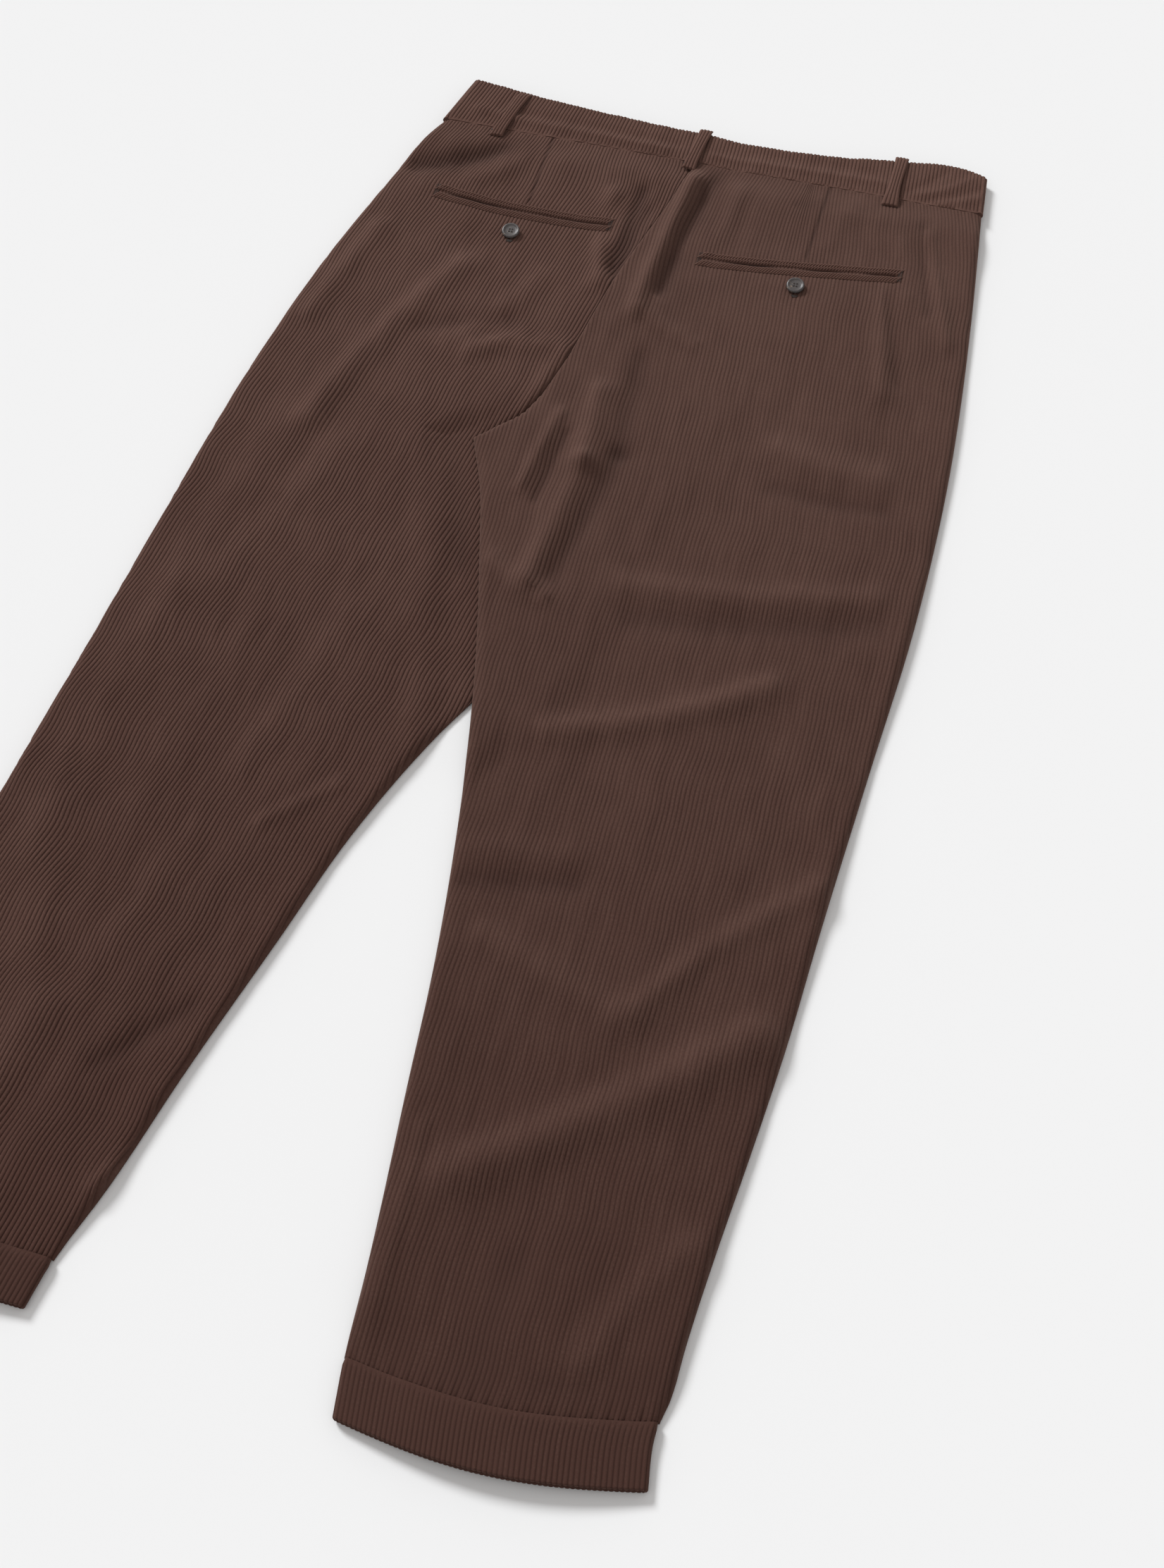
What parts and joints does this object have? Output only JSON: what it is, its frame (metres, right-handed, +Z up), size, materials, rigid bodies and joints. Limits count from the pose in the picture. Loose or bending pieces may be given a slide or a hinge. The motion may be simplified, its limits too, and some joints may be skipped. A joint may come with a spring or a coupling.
{
  "type": "corduroy trousers",
  "caption": "Straight, slightly tapered corduroy trousers laid flat with the back up: waistband with belt loops, buttoned double-welt back pockets and turned-up hems.",
  "frame": {"origin": "middle of the bounding box, on the surface that the garment lies on", "axes": "+Z up from the surface, out of the back side of the garment; +Y from the hems towards the waistband; +X towards the wearer's right side"},
  "size_m": [0.5962, 1.1042, 0.0125],
  "materials": {
    "corduroy": "brown cotton corduroy, ribbed lengthwise, matt with a soft pile sheen",
    "horn": "dark brown horn-look resin, satin"
  },
  "bodies": {
    "root": {"back_left": "corduroy", "back_right": "corduroy", "front_left": "corduroy", "front_right": "corduroy", "hem_left": "corduroy", "hem_right": "corduroy", "waistband_left": "corduroy", "waistband_right": "corduroy", "belt_loop_back_left": "corduroy", "belt_loop_back_centre": "corduroy", "belt_loop_back_right": "corduroy", "belt_loop_front_left": "corduroy", "belt_loop_front_right": "corduroy", "welt_upper_left": "corduroy", "welt_lower_left": "corduroy", "welt_upper_right": "corduroy", "welt_lower_right": "corduroy", "fly_flap": "corduroy", "pocket_button_left": "horn", "pocket_button_right": "horn", "waist_button": "horn"}
  },
  "joints": []
}
